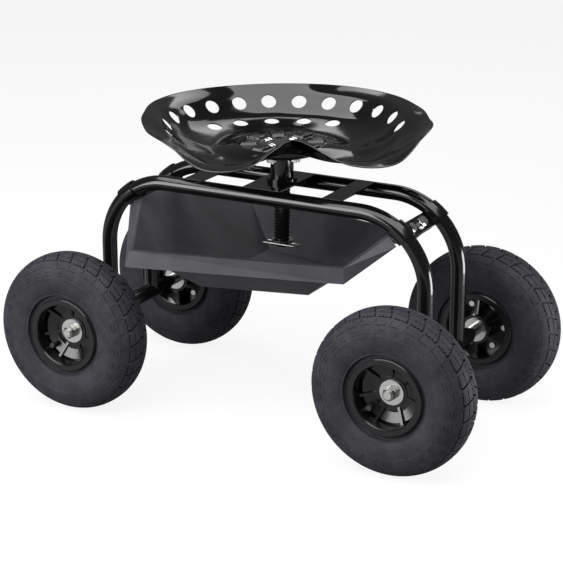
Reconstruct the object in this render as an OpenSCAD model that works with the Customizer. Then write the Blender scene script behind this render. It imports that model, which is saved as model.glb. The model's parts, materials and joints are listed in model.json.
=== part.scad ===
// Rolling creeper seat: a pressed steel seat on a screw post, carried by two hooped
// tubes over four pneumatic wheels, with a moulded tool tray hung between them.
// Millimetres. Origin on the floor under the middle of the whole, X along the wheelbase, -Y to
// the front.

/* [Chassis] */
// Distance between the left and right axles
wheelbase = 555; // [540:1:640]
// Distance between the front and rear wheel centres
track = 336; // [334:1:400]
// Distance between the planes of the two hooped tubes
hoop_gap = 122; // [116:1:132]
// Outer diameter of the hooped tubes
hoop_tube_d = 24; // [22:0.5:25]
// Wall of the hooped tubes
hoop_wall = 1.5; // [1.2:0.1:2.5]
// Height of the centreline of the top run
hoop_top_z = 354.5; // [350:0.5:360]
// Centreline radius of the bends
hoop_bend_r = 110; // [105:1:118]
// Outer diameter of the beams across the axles
beam_d = 25.4; // [25:0.2:32]
// Wall of the axle beams
beam_wall = 2; // [1.5:0.1:3]
// Length of an axle beam
beam_len = 208; // [190:1:220]

/* [Wheels] */
// Overall diameter of the tyre
tyre_d = 254; // [248:1:260]
// Width of the tyre
tyre_w = 75; // [72:1:78]
// Diameter over the rim flanges
rim_flange_d = 117.3; // [116:0.1:119]
// Width over the rim flanges
rim_w = 65.2; // [63:0.2:66]
// Wall of the moulded rim
rim_wall = 2.8; // [2.2:0.1:3.4]
// Ribs in the outer half of the rim
outer_ribs = 7; // [5:1:9]
// Ribs in the inner half of the rim
inner_ribs = 6; // [5:1:8]
// Diameter of the rim's hub
hub_d = 47; // [44:0.5:50]
// How far the hub's inner end stands from the wheel's centre plane
hub_in = 33; // [32.8:0.1:36]
// How far the hub's outer end stands from the wheel's centre plane
hub_out = 4.4; // [4:0.1:8]
// Diameter of the axle rod
axle_d = 15.88; // [14:0.02:17]
// Diameter of the rod's threaded ends
axle_thread_d = 12; // [10:0.1:13]
// Outer diameter of the wheel bearings
bearing_od = 35; // [32:0.5:37]
// Width of a wheel bearing
bearing_w = 11; // [9:0.5:12]

/* [Seat] */
// Width over the seat's wings
seat_w = 432; // [420:1:450]
// Height of the seat's floor at its lowest setting
seat_floor_z = 427; // [424:0.5:450]
// Height of the back rim above the floor
seat_rise = 54; // [45:0.5:65]
// Thickness of the seat's sheet
seat_t = 2; // [1.6:0.1:3]
// Direction that the seat faces, turned from the front towards the right
seat_turn = 36; // [0:1:180]
// Diameter of the seat's holes
hole_d = 24; // [16:0.5:25]
// Distance of the screw from the middle of the wheelbase, towards the right
post_x = 4; // [-8:0.5:8]
// Outer diameter of the adjusting screw
screw_d = 25.4; // [22:0.1:28]
// Height of the screw's lower end at the lowest setting
screw_foot_z = 262; // [250:1:275]
// Outer diameter of the threaded sleeve
sleeve_d = 36; // [34:0.5:42]
// Height of the sleeve above the centre plate
sleeve_h = 36; // [24:0.5:37]
// Outer diameter of the round bracket under the seat
seat_bracket_d = 130; // [110:1:134]

/* [Tray] */
// Underside of the tray's floor
tray_floor_z = 213; // [200:1:225]
// Height of the rim along the tray's sides
tray_side_z = 280; // [270:1:290]
// Height of the rim at the tray's ends
tray_end_z = 325; // [320:0.5:326]
// Half width of the tray's rim at its wide end
tray_wide = 179; // [170:1:182]
// Half width of the tray's rim at its narrow end
tray_narrow = 105; // [98:1:112]
// Wall of the tray
tray_wall = 3; // [2.5:0.1:3.2]
// Depth of the band that hangs from the tray's rim
band_h = 25; // [18:0.5:30]

/* [Plates and brackets] */
// Thickness of the plates on the hoops
plate_t = 3; // [2:0.1:4]
// Width of the centre plate along the hoops
centre_plate_w = 64; // [56:1:80]
// Width of the two cross straps
strap_w = 31; // [24:0.5:40]
// Distance of each cross strap from the screw
strap_x = 120; // [100:1:140]
// Thickness of the corner brackets
bracket_t = 3; // [2.5:0.1:3.2]
// Length of a corner bracket along the tube
bracket_len = 26; // [22:0.5:28]
// Angle from the vertical at which the corner brackets sit
bracket_angle = 38.5; // [37:0.5:40]
// Distance from a bracket's middle to each of its bolts
bracket_bolt_y = 20; // [14:0.5:24]
// Diameter of the bolts in the brackets and the seat
bolt_d = 8; // [6:0.5:8]

/* [Hidden] */
$fn = 64;

// Clearances that all pieces share
run_gap = 0.06; // radial play of a shaft that turns in its bore
fit_gap = 0.1;  // play between pieces that are bolted, welded or pushed together
loose_gap = 0.3; // play round bolts and between loose pieces
cut = 1;        // overrun of every cut

// Chassis
chassis_y = 18.4; // the seat's wings reach this much nearer the front than the rear, halved
hoop_y = hoop_gap / 2;
axle_x = wheelbase / 2;
wheel_y = track / 2;
axle_z = tyre_d / 2;
tube_r = hoop_tube_d / 2;
bend_x = axle_x - hoop_bend_r;
bend_z = hoop_top_z - hoop_bend_r;
crest_z = hoop_top_z + tube_r;
beam_r = beam_d / 2;
beam_plug = 20; // length of the plug that holds the rod at each end of a beam

// Axles, from the wheel's centre plane outwards
axle_r = axle_d / 2;
thread_r = axle_thread_d / 2;
end_gap = 0.2; // end play of a wheel between its washers
washer_r = 19;
washer_t = 2;
lock_nut_af = 19;
lock_nut_h = 8;
collar_r = 8.9; // collar that holds the lock nut's ring
collar_h = 4;
thread_tip = 2; // thread that shows past the lock nut
spacer_r = 9.5;

// Rims
flange_r = rim_flange_d / 2;
flange_ring = 10; // radial width of a rim's flange
flange_t = 3;
lip = 1; // edge broken off the flange
bead_seat_r = 51.2;
rim_face = rim_w / 2;
hub_r = hub_d / 2;
bearing_r = bearing_od / 2;
bearing_lip = 5; // shoulder that stops a bearing in the hub
web_t = 3;
hub_joint = 8; // depth to which the outer half's hub reaches into the inner half
hub_skin = 2.5; // wall of the inner half round that hub
rib_t = 4;
thin_rib_t = 2.6;
rib_rise = 14; // height of an outer rib at the rim's barrel
inner_rib_rise = 27;
pad_in_r = 31; // raised pads between the outer ribs
pad_out_r = 45.5;
pad_rise = 8;
rim_screws = 6;
rim_screw_circle = 37;
rim_screw_r = 2.4;
rim_screw_len = 7;
rim_screw_head_r = 4.4;
rim_screw_head_h = 2.6;

// Tyres
section_power = 2.3; // squareness of the tyre's section, where 2 is an ellipse
section_steps = 30;
tread_t = 9;
side_t = 6;
tube_t = 1.6;
bead_top = 8.5; // height of the bead's outer corner above its seat
bead_in = 21;   // inner side of the beads, from the centre plane
groove_x = 11;  // grooves round the tread, from the centre plane
groove_w = 4.5;
groove_t = 2.4;
valve_r = 4;
valve_circle = 38;
valve_turn = 220;
valve_z = 13;
valve_tip = 21;

// Plates and the post
plate_proud = 0.5; // how far the plates stand above the tubes
plate_top = crest_z + plate_proud;
screw_r = screw_d / 2;
sleeve_top = plate_top + sleeve_h;
sleeve_flange_d = 47;
sleeve_flange_h = 6;
dish_lift = 5; // height of the dish above the sleeve as drawn
dish_t = 3;
dish_flat_share = 0.5; // flat bottom of the dish, as a share of its radius
dish_turn_share = 0.78; // where the dish's side turns up
dish_turn_rise = 3;
dish_side_rise = 8;
clip_r = 1.8;
clip_rise = 6; // height of the hairpin above the screw's lower end
clip_tail = 12;
clip_loop_r = 7.4;
stop_r = 17;
stop_t = 2.5;

// Bolts
hex_af = 13;
hex_head_h = 5.3;
hex_nut_h = 6.5;
bolt_washer_r = 8;
bolt_washer_t = 1.6;
bolt_tail = 2;
bolt_r = bolt_d / 2;
seat_bolt_room = 9; // from the sleeve's side to the middle of a seat bolt
seat_bolt_circle = sleeve_d / 2 + seat_bolt_room;
seat_bolt_turn = 45; // first bolt, turned from the seat's side
seat_head_r = 7.5;
seat_head_h = 4;
seat_bolts_n = 4;

// Corner brackets, as distances from the centre of the bend
flat_drop = 6; // the upper half's flat lies this far inside the tube's centreline
upper_top = hoop_bend_r - flat_drop;
lower_top = upper_top - bracket_t - fit_gap;
tray_top = lower_top - bracket_t - fit_gap;
tray_under = tray_top - tray_wall;
bracket_sweep = bracket_len / hoop_bend_r * 180 / PI;
flat_reach = 6; // the flats run in to this distance from a tube's plane
lap = 1; // how far joined shapes reach into each other
ear_half = 44; // half width of the tray's ears under the brackets

// Tray
side_x_wide = 156;
side_x_narrow = 164;
rim_room = 2.531; // from the brackets in to the corners at the tray's ends
end_x = bend_x + sqrt(
    pow(hoop_bend_r - tube_r - bracket_t - rim_room, 2) - pow(tray_end_z - bend_z, 2)
);
end_half = 62;
floor_x_wide = 78;
floor_x_narrow = 85;
wide_run = 71.5; // how far the sides lean in, down to the floor
narrow_run = 38;
lean = 1.45;     // wall measured flat across a leaning side, over the wall itself
band_out = 1;
band_sink = 0.6; // step from the rim down to the band's top
band_flare = [6.6, 1.2, 14.6, 14.6, 1.2, 6.6, 14.6, 14.6]; // outwards lean at each corner of the rim
band_share = [1, 1, 0.52, 0.52, 1, 1, 0.52, 0.52];         // share of the band's depth there

// Seat pan. Each row is one direction, from the front round to the back in even steps, and
// holds five places: the floor's edge, the foot of the wall, the holes, the crest and the rim.
// Each place is a distance, as a share of half the width, and a rise, as a share of the rise
// of the rim at the back.
pan_share = [
    [0.347, 0.06, 0.389, 0.22, 0.431, 0.37, 0.519, 0.57, 0.618, 0.67],
    [0.361, 0.02, 0.407, 0.13, 0.458, 0.25, 0.565, 0.42, 0.681, 0.47],
    [0.394, -0.06, 0.468, -0.05, 0.549, 0.05, 0.718, 0.14, 0.903, 0.12],
    [0.403, -0.15, 0.523, -0.17, 0.648, -0.09, 0.880, 0.11, 1.109, 0.20],
    [0.449, -0.19, 0.588, -0.21, 0.731, -0.13, 0.958, 0.28, 1.148, 0.78],
    [0.468, -0.18, 0.634, -0.13, 0.784, 0.09, 0.949, 0.54, 1.118, 0.91],
    [0.486, -0.14, 0.685, 0.07, 0.822, 0.45, 0.903, 0.69, 1.046, 0.88],
    [0.500, -0.11, 0.708, 0.14, 0.822, 0.58, 0.884, 0.80, 1.005, 0.92],
    [0.500, -0.09, 0.699, 0.14, 0.806, 0.57, 0.868, 0.81, 0.970, 0.94],
    [0.486, -0.07, 0.690, 0.14, 0.795, 0.56, 0.859, 0.79, 0.972, 0.93],
    [0.477, -0.05, 0.688, 0.14, 0.795, 0.56, 0.859, 0.79, 0.986, 0.91],
    [0.468, -0.03, 0.683, 0.14, 0.788, 0.54, 0.852, 0.78, 0.980, 0.92],
    [0.454, -0.01, 0.671, 0.15, 0.777, 0.52, 0.838, 0.76, 0.954, 0.94],
    [0.442, 0.00, 0.660, 0.15, 0.768, 0.52, 0.824, 0.75, 0.908, 0.96],
    [0.433, 0.01, 0.653, 0.15, 0.763, 0.52, 0.815, 0.76, 0.862, 0.98],
    [0.426, 0.02, 0.648, 0.16, 0.758, 0.53, 0.810, 0.78, 0.843, 0.99]
];
centre_share = 0.315; // edge of the flat centre, as a share of half the width
flat_room = 3.04;     // flat centre beyond the bracket's rim
flat_r = seat_bracket_d / 2 + flat_room;
wall_run = (seat_w / 2 - flat_r) / (1 - centre_share); // distance of one share outside the flat centre
pan_turns = 72;       // facets round the pan
ring_steps = [1, 2, 3, 2, 2]; // facets from each place to the next, out from the centre's edge
hole_place = 3;
upper_holes = 13;
upper_pitch = 17;
lower_turns = [-43.5, -23, 0, 23, 43.5]; // angles of the lower row, from the back
lower_place_share = [1.75, 1.7, 1.67, 1.7, 1.75];
pads = 8;
pad_near = seat_bolt_circle + seat_head_r + 2.5;
pad_far = 66;
pad_w = 23;
pad_h = 4;
pad_round = 4;

// Rod and tube that lie along Y
module y_rod(r, len) {
    rotate([90, 0, 0]) cylinder(h = len, r = r, center = true);
}

module y_tube(r_out, r_in, len) {
    difference() {
        y_rod(r_out, len);
        y_rod(r_in, len + 2 * cut);
    }
}

// Hexagon measured across its flats
module hexagon(af, h) {
    cylinder(h = h, r = af / 2 / cos(30), $fn = 6);
}

// Solid that follows a hoop's centreline: legs, bends and top run
module hoop_bar(r) {
    for (side = [-1, 1])
        translate([side * axle_x, 0, axle_z]) cylinder(h = bend_z - axle_z, r = r);
    for (side = [0, 1])
        mirror([side, 0, 0])
            translate([bend_x, 0, bend_z])
                rotate([90, 0, 0])
                    rotate_extrude(angle = 90)
                        translate([hoop_bend_r, 0]) circle(r = r);
    translate([-bend_x, 0, hoop_top_z]) rotate([0, 90, 0]) cylinder(h = 2 * bend_x, r = r);
}

// A hooped tube whose legs are notched over the axle beams
module hoop(y) {
    color("black") translate([0, y, 0]) difference() {
        hoop_bar(tube_r);
        hoop_bar(tube_r - hoop_wall);
        for (side = [-1, 1])
            translate([side * axle_x, 0, axle_z]) y_rod(beam_r + fit_gap, hoop_tube_d + 2 * cut);
    }
}

// Beam across one axle: a tube with a plug at each end that carries the rod
module axle_beam(side) {
    color("black") translate([side * axle_x, 0, axle_z]) difference() {
        y_rod(beam_r, beam_len);
        y_rod(beam_r - beam_wall, beam_len - 2 * beam_plug);
        y_rod(axle_r + fit_gap, beam_len + 2 * cut);
    }
}

outer_stop = wheel_y + hub_out + end_gap;
inner_stop = wheel_y - hub_in - end_gap;
rod_end = outer_stop + washer_t + lock_nut_h + collar_h + thread_tip;

// Axle rod with a smaller threaded end outside each wheel
module axle_rod(side) {
    color("silver") translate([side * axle_x, 0, axle_z]) {
        y_rod(axle_r, 2 * outer_stop);
        y_rod(thread_r, 2 * rod_end);
    }
}

// Puts a piece on each of the four wheel stations, with its own Z pointing outwards
module at_stations() {
    for (side = [-1, 1])
        for (row = [0, 1])
            mirror([0, row, 0])
                translate([side * axle_x, -wheel_y, axle_z]) rotate([90, 0, 0]) children();
}

module axle_spacers() {
    color("black") at_stations() difference() {
        translate([0, 0, beam_len / 2 - wheel_y])
            cylinder(h = inner_stop - washer_t - beam_len / 2, r = spacer_r);
        translate([0, 0, beam_len / 2 - wheel_y - cut])
            cylinder(h = inner_stop - washer_t - beam_len / 2 + 2 * cut, r = axle_r + fit_gap);
    }
}

module axle_washers() {
    color("silver") at_stations() {
        difference() {
            translate([0, 0, inner_stop - washer_t - wheel_y]) cylinder(h = washer_t, r = washer_r);
            translate([0, 0, inner_stop - washer_t - wheel_y - cut])
                cylinder(h = washer_t + 2 * cut, r = axle_r + fit_gap);
        }
        difference() {
            translate([0, 0, outer_stop - wheel_y]) cylinder(h = washer_t, r = washer_r);
            translate([0, 0, outer_stop - wheel_y - cut])
                cylinder(h = washer_t + 2 * cut, r = thread_r + fit_gap);
        }
    }
}

module axle_nuts() {
    color("silver") at_stations() translate([0, 0, outer_stop + washer_t - wheel_y]) difference() {
        union() {
            hexagon(lock_nut_af, lock_nut_h);
            cylinder(h = lock_nut_h + collar_h, r = collar_r);
        }
        translate([0, 0, -cut])
            cylinder(h = lock_nut_h + collar_h + 2 * cut, r = thread_r + fit_gap);
    }
}

// Flat plate between the crests of the two hoops
module hoop_plate(w) {
    difference() {
        translate([-w / 2, -hoop_y, plate_top - plate_t]) cube([w, hoop_gap, plate_t]);
        for (side = [-1, 1])
            translate([-w / 2 - cut, side * hoop_y, hoop_top_z])
                rotate([0, 90, 0]) cylinder(h = w + 2 * cut, r = tube_r + fit_gap);
    }
}

module centre_plate() {
    color("black") difference() {
        hoop_plate(centre_plate_w);
        translate([post_x, 0, plate_top - plate_t - cut])
            cylinder(h = plate_t + 2 * cut, r = screw_r + loose_gap);
    }
}

module cross_strap(side) {
    color("black") translate([side * strap_x, 0, 0]) hoop_plate(strap_w);
}

module screw_sleeve() {
    color("black") translate([post_x, 0, plate_top]) difference() {
        cylinder(h = sleeve_h, r = sleeve_d / 2);
        translate([0, 0, -cut]) cylinder(h = sleeve_h + 2 * cut, r = screw_r + run_gap);
    }
}

module sleeve_flange() {
    color("black") translate([post_x, 0, plate_top]) difference() {
        cylinder(h = sleeve_flange_h, r = sleeve_flange_d / 2);
        translate([0, 0, -cut]) cylinder(h = sleeve_flange_h + 2 * cut, r = sleeve_d / 2 + fit_gap);
    }
}

// Frame of a corner bracket: Z runs out from the centre of the bend, X runs down along the tube
module at_bracket(side) {
    mirror([side < 0 ? 1 : 0, 0, 0])
        translate([bend_x, 0, bend_z]) rotate([0, bracket_angle, 0]) children();
}

// Sweep of both tubes' section round the middle of the bend
module bend_pair(r, sweep, low, high) {
    rotate([0, sweep / 2 - 90, 0])
        rotate([90, 0, 0])
            rotate_extrude(angle = sweep)
                for (row = [-1, 1])
                    intersection() {
                        translate([hoop_bend_r, row * hoop_y]) circle(r = r);
                        translate([low, row * hoop_y - 2 * r]) square([high - low, 4 * r]);
                    }
}

// Half of a bracket: saddles on both tubes and the flat between them
module bracket_half(low, high, flat_top) {
    difference() {
        union() {
            bend_pair(tube_r + fit_gap + bracket_t, bracket_sweep, low, high);
            translate([-bracket_len / 2, flat_reach - hoop_y, flat_top - bracket_t])
                cube([bracket_len, hoop_gap - 2 * flat_reach, bracket_t]);
        }
        bend_pair(tube_r + fit_gap, 2 * bracket_sweep, 0, 2 * hoop_bend_r);
        bracket_bolt_holes(flat_top - bracket_t, flat_top);
    }
}

module bracket_bolt_holes(low, high) {
    for (row = [-1, 1])
        translate([0, row * bracket_bolt_y, low - cut])
            cylinder(h = high - low + 2 * cut, r = bolt_r + loose_gap);
}

module bracket_upper(side) {
    color("dimgray") at_bracket(side)
        bracket_half(upper_top - bracket_t + lap, hoop_bend_r + tube_r + 2 * bracket_t, upper_top);
}

module bracket_lower(side) {
    color("dimgray") at_bracket(side)
        bracket_half(hoop_bend_r - tube_r - 2 * bracket_t, lower_top - lap, lower_top);
}

// Repeats a piece at all four bracket bolts
module at_bracket_bolts() {
    for (side = [-1, 1])
        at_bracket(side)
            for (row = [-1, 1])
                translate([0, row * bracket_bolt_y, 0]) children();
}

module bracket_bolts() {
    color("silver") at_bracket_bolts() {
        translate([0, 0, upper_top + bolt_washer_t]) hexagon(hex_af, hex_head_h);
        translate([0, 0, tray_under - hex_nut_h - bolt_tail])
            cylinder(h = upper_top + bolt_washer_t + hex_nut_h + bolt_tail - tray_under, r = bolt_r);
    }
}

module bracket_washers() {
    color("silver") at_bracket_bolts() translate([0, 0, upper_top]) difference() {
        cylinder(h = bolt_washer_t, r = bolt_washer_r);
        translate([0, 0, -cut]) cylinder(h = bolt_washer_t + 2 * cut, r = bolt_r + fit_gap);
    }
}

module bracket_nuts() {
    color("silver") at_bracket_bolts() translate([0, 0, tray_under - hex_nut_h]) difference() {
        hexagon(hex_af, hex_nut_h);
        translate([0, 0, -cut]) cylinder(h = hex_nut_h + 2 * cut, r = bolt_r + fit_gap);
    }
}

// Inner edge of the tray's rim, counterclockwise from above, starting at the wide front corner
tray_rim = [
    [-side_x_wide, -tray_wide, tray_side_z],
    [side_x_narrow, -tray_narrow, tray_side_z],
    [end_x, -end_half, tray_end_z],
    [end_x, end_half, tray_end_z],
    [side_x_narrow, tray_narrow, tray_side_z],
    [-side_x_wide, tray_wide, tray_side_z],
    [-end_x, end_half, tray_end_z],
    [-end_x, -end_half, tray_end_z]
];
tray_floor = [
    [-floor_x_wide, wide_run - tray_wide, tray_floor_z + tray_wall],
    [floor_x_narrow, narrow_run - tray_narrow, tray_floor_z + tray_wall],
    [floor_x_narrow, tray_narrow - narrow_run, tray_floor_z + tray_wall],
    [-floor_x_wide, tray_wide - wide_run, tray_floor_z + tray_wall]
];

function flat_unit(v) = [v.x, v.y] / norm([v.x, v.y]);
function edge_out(a, b) = let (u = flat_unit(b - a)) [u.y, -u.x];

// Ring of points moved outwards in plan by d and down by drop
function spread(ring, d, drop) = [
    for (i = [0:len(ring) - 1])
        let (
            n = len(ring),
            n1 = edge_out(ring[(i + n - 1) % n], ring[i]),
            n2 = edge_out(ring[i], ring[(i + 1) % n]),
            move = d / (1 + n1 * n2) * (n1 + n2)
        )
        [ring[i].x + move.x, ring[i].y + move.y, ring[i].z - drop]
];

function quad(a, b, c, d) = [[a, b, c], [a, c, d]];

// Faces of the leaning walls between a rim ring of eight and a floor ring of four
function wall_faces(rim, floor) = concat(
    quad(floor, floor + 1, rim + 1, rim),
    [[floor + 1, rim + 2, rim + 1]],
    quad(floor + 1, floor + 2, rim + 3, rim + 2),
    [[floor + 2, rim + 4, rim + 3]],
    quad(floor + 2, floor + 3, rim + 5, rim + 4),
    [[floor + 3, rim + 6, rim + 5]],
    quad(floor + 3, floor, rim + 7, rim + 6),
    [[floor, rim, rim + 7]]
);
function flipped(faces) = [for (f = faces) [for (i = [len(f) - 1:-1:0]) f[i]]];

// The tray's leaning walls and floor
module tray_shell() {
    points = concat(
        tray_rim,
        tray_floor,
        spread(tray_rim, tray_wall * lean, 0),
        spread(tray_floor, tray_wall * (lean - 1), tray_wall)
    );
    polyhedron(
        points = points,
        faces = concat(
            wall_faces(0, 8),
            [[11, 10, 9, 8]],
            flipped(wall_faces(12, 20)),
            [[20, 21, 22, 23]],
            [for (i = [0:7]) each quad(i, (i + 1) % 8, 12 + (i + 1) % 8, 12 + i)]
        )
    );
}

// Band that hangs from the rim along one side, past both corners
module tray_band(stations) {
    top_in = spread(tray_rim, tray_wall * lean + band_out - tray_wall, band_sink);
    top_out = spread(tray_rim, tray_wall * lean + band_out, band_sink);
    low_out = [
        for (i = [0:7])
            spread(tray_rim, tray_wall * lean + band_out + band_flare[i], band_h * band_share[i])[i]
    ];
    low_in = [
        for (i = [0:7])
            spread(tray_rim, tray_wall * (lean - 1) + band_out + band_flare[i], band_h * band_share[i])[i]
    ];
    last = len(stations) - 1;
    points = [for (i = stations) for (ring = [top_in, top_out, low_out, low_in]) ring[i]];
    polyhedron(
        points = points,
        faces = concat(
            [[0, 1, 2, 3]],
            [for (i = [0:last - 1]) for (j = [0:3])
                each quad(4 * i + j, 4 * i + 4 + j, 4 * i + 4 + (j + 1) % 4, 4 * i + (j + 1) % 4)],
            [[4 * last + 3, 4 * last + 2, 4 * last + 1, 4 * last]]
        )
    );
}

// Ear that folds over the end of the tray and runs down under a corner bracket
module tray_ear(side) {
    tip = bracket_len / 2;
    // the tray's rim corner, seen from the bracket's frame
    dx = end_x - bend_x;
    dz = tray_end_z - bend_z;
    rim_t = dx * cos(bracket_angle) - dz * sin(bracket_angle);
    rim_r = dx * sin(bracket_angle) + dz * cos(bracket_angle);
    at_bracket(side) difference() {
        rotate([90, 0, 0])
            linear_extrude(height = 2 * ear_half, center = true)
                polygon([
                    [rim_t + tray_wall, rim_r],
                    [rim_t + tray_wall / 2, tray_top],
                    [tip, tray_top],
                    [tip, tray_under],
                    [rim_t + 2 * tray_wall, tray_under]
                ]);
        bracket_bolt_holes(tray_under, tray_top);
    }
}

module tool_tray() {
    color("darkslategray") {
        tray_shell();
        tray_band([7, 0, 1, 2]);
        tray_band([3, 4, 5, 6]);
        tray_ear(-1);
        tray_ear(1);
    }
}

function spline(a, b, c, d, t) =
    b + (c - a) * t / 2
    + (2 * a - 5 * b + 4 * c - d) * t * t / 2
    + (3 * b - a - 3 * c + d) * t * t * t / 2;

// Row of the pan's shares at any angle from the front, the same on both sides
function pan_row(angle) =
    let (
        last = len(pan_share) - 1,
        turn = abs(((angle + 180) % 360 + 360) % 360 - 180),
        place = turn / 180 * last,
        i = min(floor(place), last - 1),
        before = i == 0 ? pan_share[1] : pan_share[i - 1],
        after = i + 2 > last ? pan_share[last - 1] : pan_share[i + 2]
    )
    spline(before, pan_share[i], pan_share[i + 1], after, place - i);

// Distance and height of the pan's upper face: s is 0 at the centre's edge, then 1 to 5 at the
// five places of the rows
function pan_section(angle, s) =
    let (
        row = pan_row(angle),
        knots = concat([[centre_share, 0]], [for (k = [0:4]) [row[2 * k], row[2 * k + 1]]]),
        ring = concat([[2 * centre_share - row[0], 0]], knots, [2 * knots[5] - knots[4]]),
        i = min(floor(s), 4),
        p = spline(ring[i], ring[i + 1], ring[i + 2], ring[i + 3], s - i)
    )
    [flat_r + (p[0] - centre_share) * wall_run, seat_floor_z + p[1] * seat_rise];

function pan_point(angle, s) =
    let (p = pan_section(angle, s))
    [p[0] * sin(angle), -p[0] * cos(angle), p[1]];

// Upward normal of the pan's upper face, from two short steps
function pan_normal(angle, s) =
    let (
        out = pan_point(angle, min(s + small_share, 5)) - pan_point(angle, max(s - small_share, 0)),
        round = pan_point(angle + 1, s) - pan_point(angle - 1, s),
        n = cross(out, round)
    )
    s == 0 ? [0, 0, 1] : n / norm(n) * sign(n.z);

small_share = 0.02;
pan_rings = [for (zone = [0:4]) for (k = [1:ring_steps[zone]]) zone + k / ring_steps[zone]];
pan_stations = concat([0], pan_rings);

module pan_sheet() {
    rings = len(pan_stations);
    side = rings * pan_turns;
    upper = [for (s = pan_stations) for (k = [0:pan_turns - 1]) pan_point(k * 360 / pan_turns, s)];
    lower = [for (s = pan_stations) for (k = [0:pan_turns - 1])
        let (a = k * 360 / pan_turns) pan_point(a, s) - seat_t * pan_normal(a, s)];
    middle = 2 * side;
    function at(layer, ring, k) = layer * side + ring * pan_turns + k % pan_turns;
    polyhedron(
        points = concat(upper, lower, [[0, 0, seat_floor_z], [0, 0, seat_floor_z - seat_t]]),
        faces = concat(
            [for (k = [0:pan_turns - 1]) [middle, at(0, 0, k + 1), at(0, 0, k)]],
            [for (k = [0:pan_turns - 1]) [middle + 1, at(1, 0, k), at(1, 0, k + 1)]],
            [for (r = [0:rings - 2]) for (k = [0:pan_turns - 1])
                each [[at(0, r, k), at(0, r, k + 1), at(0, r + 1, k)],
                      [at(0, r, k + 1), at(0, r + 1, k + 1), at(0, r + 1, k)]]],
            [for (r = [0:rings - 2]) for (k = [0:pan_turns - 1])
                each [[at(1, r, k), at(1, r + 1, k), at(1, r, k + 1)],
                      [at(1, r, k + 1), at(1, r + 1, k), at(1, r + 1, k + 1)]]],
            [for (k = [0:pan_turns - 1])
                each [[at(0, rings - 1, k), at(0, rings - 1, k + 1), at(1, rings - 1, k)],
                      [at(0, rings - 1, k + 1), at(1, rings - 1, k + 1), at(1, rings - 1, k)]]]
        )
    );
}

// A hole square to the sheet
module pan_hole(angle, s) {
    n = pan_normal(angle, s);
    translate(pan_point(angle, s))
        rotate([0, acos(n.z), atan2(n.y, n.x)])
            cylinder(h = 2 * hole_d, r = hole_d / 2, center = true);
}

// Raised pads in a ring round the seat's bolts
module pan_pads() {
    for (k = [0:pads - 1])
        rotate([0, 0, k * 360 / pads])
            translate([(pad_near + pad_far) / 2, 0, seat_floor_z - seat_t / 2])
                linear_extrude(height = pad_h + seat_t / 2)
                    difference() {
                        square([pad_far - pad_near, pad_w], center = true);
                        for (sx = [-1, 1])
                            for (sy = [-1, 1])
                                translate([
                                    sx * (pad_far - pad_near - pad_round) / 2,
                                    sy * (pad_w - pad_round) / 2
                                ])
                                    rotate(45)
                                        translate([sx == sy ? sx * pad_round : 0, sx == sy ? 0 : sy * pad_round])
                                            square(pad_round, center = true);
                    }
}

// Repeats a piece at the bolts that hold the seat to its bracket
module at_seat_bolts() {
    for (k = [0:seat_bolts_n - 1])
        translate([post_x, 0, 0])
            rotate([0, 0, seat_turn + seat_bolt_turn + k * 360 / seat_bolts_n])
                translate([seat_bolt_circle, 0, 0]) children();
}

module seat_pan() {
    color("#202020") difference() {
        translate([post_x, 0, 0]) rotate([0, 0, seat_turn]) difference() {
            union() {
                pan_sheet();
                pan_pads();
            }
            for (k = [0:upper_holes - 1])
                pan_hole(180 + (k - (upper_holes - 1) / 2) * upper_pitch, hole_place);
            for (k = [0:len(lower_turns) - 1])
                pan_hole(180 + lower_turns[k], lower_place_share[k]);
        }
        at_seat_bolts()
            translate([0, 0, seat_floor_z - seat_t - cut])
                cylinder(h = seat_t + 2 * cut, r = bolt_r + loose_gap);
    }
}

bracket_top = seat_floor_z - seat_t;
dish_z = sleeve_top + dish_lift;
dish_r = seat_bracket_d / 2;

// Pressed round dish that carries the pan, with a hole for the end of the screw
module seat_bracket() {
    color("#151515") difference() {
        translate([post_x, 0, 0]) rotate_extrude()
            polygon([
                [screw_r + fit_gap, dish_z],
                [dish_r * dish_flat_share, dish_z],
                [dish_r * dish_turn_share, dish_z + dish_turn_rise],
                [dish_r - dish_t / 2, dish_z + dish_side_rise],
                [dish_r, bracket_top - 2 * dish_t],
                [dish_r, bracket_top],
                [dish_r - dish_t, bracket_top],
                [dish_r - dish_t, bracket_top - 2 * dish_t],
                [dish_r - 3 / 2 * dish_t, dish_z + dish_side_rise + dish_t / 3],
                [dish_r * dish_turn_share - dish_t / 3, dish_z + dish_turn_rise + dish_t],
                [dish_r * dish_flat_share, dish_z + dish_t],
                [screw_r + fit_gap, dish_z + dish_t]
            ]);
        at_seat_bolts()
            translate([0, 0, dish_z - cut]) cylinder(h = dish_t + 2 * cut, r = bolt_r + loose_gap);
    }
}

module seat_bolts() {
    foot = dish_z - hex_nut_h - bolt_tail;
    color("silver") at_seat_bolts() {
        translate([0, 0, foot]) cylinder(h = seat_floor_z - foot, r = bolt_r);
        translate([0, 0, seat_floor_z]) rotate_extrude() intersection() {
            translate([0, -seat_head_r]) circle(r = seat_head_r + seat_head_h);
            square([seat_head_r, seat_head_h]);
        }
    }
}

module seat_nuts() {
    color("silver") at_seat_bolts() translate([0, 0, dish_z - hex_nut_h]) difference() {
        hexagon(hex_af, hex_nut_h);
        translate([0, 0, -cut]) cylinder(h = hex_nut_h + 2 * cut, r = bolt_r + fit_gap);
    }
}

// Adjusting screw, drilled across for the hairpin
module adjusting_screw() {
    color("#181818") translate([post_x, 0, 0]) difference() {
        translate([0, 0, screw_foot_z]) cylinder(h = dish_z + dish_t - screw_foot_z, r = screw_r);
        translate([0, 0, screw_foot_z + clip_rise])
            rotate([0, 90, 0]) cylinder(h = screw_d + 2 * cut, r = clip_r + fit_gap, center = true);
    }
}

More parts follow.
